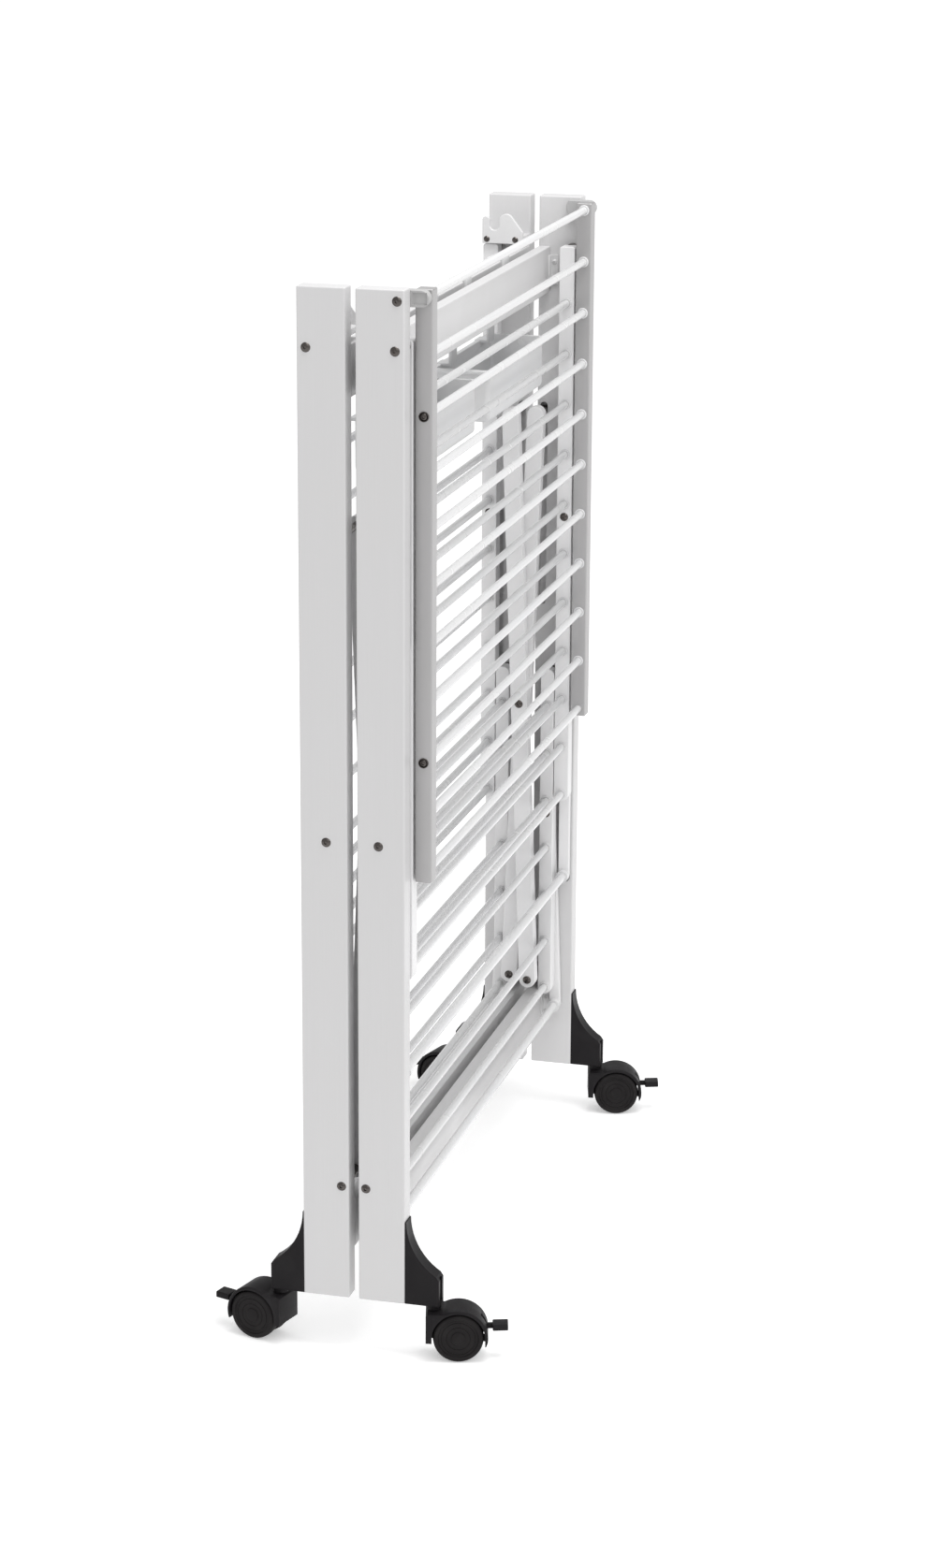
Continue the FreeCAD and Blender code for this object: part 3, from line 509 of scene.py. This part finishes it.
def link(tree, source, target):
    tree.links.new(source, target)


collar = {
    "radius": 0.0062, "bore": 0.0042, "length": 0.0020, "edgeRound": 0.0006,
    "segments": 28, "edgeSteps": 2, "sharpDegrees": 50,
}
rodRow = {"rodRadius": 0.00425, "leastGap": 0.012}      # a larger step in height is the next rod


def makeCollarTree():
    tree, names, given, result = newGeometryTree("rodCollars", [
        ("First", "NodeSocketVector"), ("Step", "NodeSocketVector"), ("Count", "NodeSocketInt"),
        ("Half Span", "NodeSocketFloat"), ("Middle Radius", "NodeSocketFloat"),
        ("Wall", "NodeSocketFloat"), ("Length", "NodeSocketFloat"),
        ("Edge Round", "NodeSocketFloat"), ("Finish", "NodeSocketMaterial")])
    circle = addNode(tree, "GeometryNodeCurvePrimitiveCircle")
    circle.inputs["Resolution"].default_value = collar["segments"]
    section = addNode(tree, "GeometryNodeCurvePrimitiveQuadrilateral")
    fillet = addNode(tree, "GeometryNodeFilletCurve", mode="POLY")
    fillet.inputs["Count"].default_value = collar["edgeSteps"]
    sweep = addNode(tree, "GeometryNodeCurveToMesh")
    upright = addNode(tree, "GeometryNodeTransform")
    upright.inputs["Rotation"].default_value = (math.pi / 2, 0, 0)
    link(tree, given.outputs["Middle Radius"], circle.inputs["Radius"])
    link(tree, given.outputs["Length"], section.inputs["Width"])
    link(tree, given.outputs["Wall"], section.inputs["Height"])
    link(tree, section.outputs["Curve"], fillet.inputs["Curve"])
    link(tree, given.outputs["Edge Round"], fillet.inputs["Radius"])
    link(tree, circle.outputs["Curve"], sweep.inputs["Curve"])
    link(tree, fillet.outputs["Curve"], sweep.inputs["Profile Curve"])
    link(tree, sweep.outputs["Mesh"], upright.inputs["Geometry"])
    span = addNode(tree, "ShaderNodeCombineXYZ")
    link(tree, given.outputs["Half Span"], span.inputs["Y"])
    join = addNode(tree, "GeometryNodeJoinGeometry")
    for operation in ("ADD", "SUBTRACT"):
        start = addNode(tree, "ShaderNodeVectorMath", operation=operation)
        row = addNode(tree, "GeometryNodeMeshLine", mode="OFFSET")
        put = addNode(tree, "GeometryNodeInstanceOnPoints")
        link(tree, given.outputs["First"], start.inputs[0])
        link(tree, span.outputs[0], start.inputs[1])
        link(tree, given.outputs["Count"], row.inputs["Count"])
        link(tree, start.outputs[0], row.inputs["Start Location"])
        link(tree, given.outputs["Step"], row.inputs["Offset"])
        link(tree, row.outputs["Mesh"], put.inputs["Points"])
        link(tree, upright.outputs["Geometry"], put.inputs["Instance"])
        link(tree, put.outputs["Instances"], join.inputs["Geometry"])
    closeTree(tree, join.outputs["Geometry"], given, result)
    return tree, names


def closeTree(tree, geometry, given, result):
    realize = addNode(tree, "GeometryNodeRealizeInstances")
    colour = addNode(tree, "GeometryNodeSetMaterial")
    link(tree, geometry, realize.inputs["Geometry"])
    link(tree, realize.outputs["Geometry"], colour.inputs["Geometry"])
    link(tree, given.outputs["Finish"], colour.inputs["Material"])
    link(tree, colour.outputs["Geometry"], result.inputs["Geometry"])


def grownMesh(name, tree, names, values, seats=None):
    mesh = seats or bpy.data.meshes.new(name + "Seats")

    def addTree(holder):
        modifier = holder.modifiers.new("grow", "NODES")
        modifier.node_group = tree
        for label, value in values.items():
            modifier[names[label]] = value

    return finishedMesh(name, mesh, addTree)


def rodPlaces(nodeName):
    # places of a row of rods, read from its box: the top one, the step down and how many
    mesh = frame["nodes"][nodeName].data
    heights = sorted({round(v.co.z, 3) for v in mesh.vertices}, reverse=True)
    rows = []
    for z in heights:
        if not rows or rows[-1][-1] - z > rodRow["leastGap"]:
            rows.append([z])
        else:
            rows[-1].append(z)
    low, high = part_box(nodeName)
    first = Vector(((low.x + high.x) / 2, 0, high.z - rodRow["rodRadius"]))
    last = Vector((first.x, 0, low.z + rodRow["rodRadius"]))
    return first, (last - first) / (len(rows) - 1), len(rows)


collarTree, collarNames = makeCollarTree()
for rack in ("top_rack", "right_upper_wing", "right_lower_wing",
             "left_upper_wing", "left_lower_wing"):
    first, step, count = rodPlaces(rack + "_rods")
    barMesh = frame["nodes"][rack + "_bars"].data
    innerFace = min(abs(v.co.y) for v in barMesh.vertices)
    # the top rack's last rod drops into the hooks, so it goes without collars
    collared = count - 1 if rack == "top_rack" else count
    values = {"First": first, "Step": step, "Count": collared,
              "Half Span": innerFace - collar["length"] / 2,
              "Middle Radius": (collar["radius"] + collar["bore"]) / 2,
              "Wall": collar["radius"] - collar["bore"], "Length": collar["length"],
              "Edge Round": collar["edgeRound"], "Finish": finishes["rodGloss"]}
    mesh = grownMesh(rack + "_collars", collarTree, collarNames, values)
    smoothUnder(mesh, collar["sharpDegrees"])
    addPiece(rack + "_collars", mesh, rack)
print("rod collars grown")


# Geometry Nodes: socket screws set at a row of seats

def makeScrewTree():
    tree, names, given, result = newGeometryTree("setScrews", [
        ("Screw", "NodeSocketObject"), ("Finish", "NodeSocketMaterial")])
    screw = addNode(tree, "GeometryNodeObjectInfo")
    turn = addNode(tree, "GeometryNodeInputNamedAttribute", data_type="FLOAT")
    turn.inputs["Name"].default_value = "turn"
    euler = addNode(tree, "ShaderNodeCombineXYZ")
    rotation = addNode(tree, "FunctionNodeEulerToRotation")
    put = addNode(tree, "GeometryNodeInstanceOnPoints")
    link(tree, given.outputs["Screw"], screw.inputs["Object"])
    link(tree, turn.outputs["Attribute"], euler.inputs["Z"])
    link(tree, euler.outputs[0], rotation.inputs[0])
    link(tree, given.outputs["Geometry"], put.inputs["Points"])
    link(tree, screw.outputs["Geometry"], put.inputs["Instance"])
    link(tree, rotation.outputs[0], put.inputs["Rotation"])
    closeTree(tree, put.outputs["Instances"], given, result)
    return tree, names


rackScrew = {
    "cupRadius": 0.0053, "cupHeight": 0.0011, "cupWall": 0.0008,
    "grooveWidth": 0.0009, "headHeight": 0.0017, "socket": 0.0016, "depth": 0.0013,
    "rows": (2, 8),           # the rods that are screwed, counted from the top one as 0
    "segments": 36, "sharpDegrees": 35,
}


def makeScrewObject():
    # a button head with a hexagon socket, inside a raised cup washer
    shape = rackScrew
    cup, rise = shape["cupRadius"], shape["cupHeight"]
    lip = cup - shape["cupWall"]
    head = lip - shape["grooveWidth"]
    height, socket = shape["headHeight"], shape["socket"]
    profile = [(0, 0, 0), (cup, 0, 0), (cup, -rise * 0.6, 0),
               (cup - 0.0002, -rise, 0), (lip, -rise, 0),
               (lip - 0.0002, -rise * 0.8, 0), (head + 0.0002, -0.0001, 0),
               (head, -height * 0.3, 0), (head * 0.93, -height * 0.64, 0),
               (head * 0.78, -height * 0.88, 0), (socket * 1.2, -height, 0),
               (socket * 1.04, -height, 6), (socket, -height + 0.0001, 6),
               (socket, -height + shape["depth"], 6), (0, -height + shape["depth"], 0)]
    mesh = turnedMesh("socketScrew", [profile], shape["segments"])
    smoothUnder(mesh, shape["sharpDegrees"])
    screw = bpy.data.objects.new("socketScrew", mesh)
    bpy.context.scene.collection.objects.link(screw)
    return screw


def makeRackScrews():
    first, step, count = rodPlaces("top_rack_rods")
    low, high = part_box("top_rack_bars")
    seats = bpy.data.meshes.new("rackScrewSeats")
    spots = [(first + step * row, y, turn) for row in rackScrew["rows"]
             for y, turn in ((low.y, 0.0), (high.y, math.pi))]
    seats.from_pydata([(spot.x, y, spot.z) for spot, y, turn in spots], [], [])
    turns = seats.attributes.new("turn", "FLOAT", "POINT")
    turns.data.foreach_set("value", [turn for spot, y, turn in spots])
    screw = makeScrewObject()
    tree, names = makeScrewTree()
    mesh = grownMesh("top_rack_screws", tree, names,
                     {"Screw": screw, "Finish": finishes["boltMetalPaintedDark"]}, seats)
    bpy.data.objects.remove(screw)
    addPiece("top_rack_screws", mesh, "top_rack")


makeRackScrews()
print("rack screws set")


# Floor, world and lights

studio = {
    "floorReach": 60.0,
    "floorColour": (0.90, 0.90, 0.90), "floorGlow": 0.34, "floorRoughness": 0.9,
    "worldStrength": 0.70,
    "backdropStrength": 1.0,
    "sunFrom": (0.75, -0.50, 0.80), "sunStrength": 0.6, "sunSpreadDegrees": 50,
    "glowSpot": (0.40, -0.32, 2.7), "glowSize": 1.3, "glowPower": 28,
    "aim": (0, 0.35, 0.6),
}


def makeFloor():
    reach = studio["floorReach"]
    mesh = bpy.data.meshes.new("floor")
    corners = [(-reach, -reach, 0), (reach, -reach, 0), (reach, reach, 0), (-reach, reach, 0)]
    mesh.from_pydata(corners, [], [(0, 1, 2, 3)])
    material = bpy.data.materials.new("paleFloor")
    material.use_nodes = True
    shader = material.node_tree.nodes["Principled BSDF"]
    shader.inputs["Base Color"].default_value = (*studio["floorColour"], 1)
    shader.inputs["Roughness"].default_value = studio["floorRoughness"]
    shader.inputs["Specular IOR Level"].default_value = 0.1
    shader.inputs["Emission Color"].default_value = (1, 1, 1, 1)
    shader.inputs["Emission Strength"].default_value = studio["floorGlow"]
    mesh.materials.append(material)
    floor = bpy.data.objects.new("floor", mesh)
    bpy.context.scene.collection.objects.link(floor)


def placeLamp(name, light, spot, aim):
    lamp = bpy.data.objects.new(name, light)
    bpy.context.scene.collection.objects.link(lamp)
    lamp.location = spot
    lamp.rotation_mode = "QUATERNION"
    lamp.rotation_quaternion = (Vector(aim) - Vector(spot)).to_track_quat("-Z", "Y")
    lamp.visible_camera = False


def makeLights():
    sun = bpy.data.lights.new("skylight", "SUN")
    sun.energy = studio["sunStrength"]
    sun.angle = math.radians(studio["sunSpreadDegrees"])
    placeLamp("skylight", sun, studio["sunFrom"], (0, 0, 0))
    glow = bpy.data.lights.new("glow", "AREA")
    glow.shape = "DISK"
    glow.size = studio["glowSize"]
    glow.energy = studio["glowPower"]
    placeLamp("glow", glow, studio["glowSpot"], studio["aim"])


def makeWorld():
    # the backdrop looks whiter than the light that it sheds
    world = bpy.data.worlds.new("studio")
    world.use_nodes = True
    tree = world.node_tree
    path = tree.nodes.new("ShaderNodeLightPath")
    strength = tree.nodes.new("ShaderNodeMapRange")
    strength.inputs["To Min"].default_value = studio["worldStrength"]
    strength.inputs["To Max"].default_value = studio["backdropStrength"]
    background = tree.nodes["Background"]
    background.inputs["Color"].default_value = (1, 1, 1, 1)
    tree.links.new(path.outputs["Is Camera Ray"], strength.inputs["Value"])
    tree.links.new(strength.outputs["Result"], background.inputs["Strength"])
    bpy.context.scene.world = world
    bpy.context.scene.view_settings.view_transform = "Standard"


makeFloor()
makeWorld()
makeLights()

print("scene ready")
